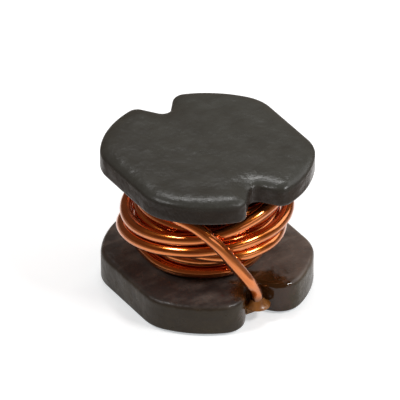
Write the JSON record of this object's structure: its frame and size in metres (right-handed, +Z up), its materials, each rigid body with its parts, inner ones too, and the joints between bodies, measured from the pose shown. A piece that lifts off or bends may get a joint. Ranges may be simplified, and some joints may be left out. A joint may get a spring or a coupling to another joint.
{
  "type": "drum core inductor",
  "caption": "Surface-mount choke: a notched ferrite drum core with one enamelled copper winding, its leads dropping through notches in the base to tinned terminals underneath.",
  "frame": {"origin": "middle of the underside, in the plane of the terminals", "axes": "+Z up to the top face, +X towards the notch of the finish lead, the two flats face +Y and -Y"},
  "size_m": [0.0044, 0.004, 0.0033],
  "materials": {
    "ferrite": "satin, dark grey, sintered",
    "enamelled_copper": "glossy clear enamel over copper",
    "tin": "dull tin plate",
    "solder": "bright solder stained with flux",
    "resin": "glossy amber brown"
  },
  "bodies": {
    "root": {"drum_core": "ferrite", "winding": "enamelled_copper", "terminal_start": "tin", "terminal_finish": "tin", "solder_start": "solder", "solder_finish": "solder", "resin_start": "resin", "resin_finish": "resin"}
  },
  "joints": []
}
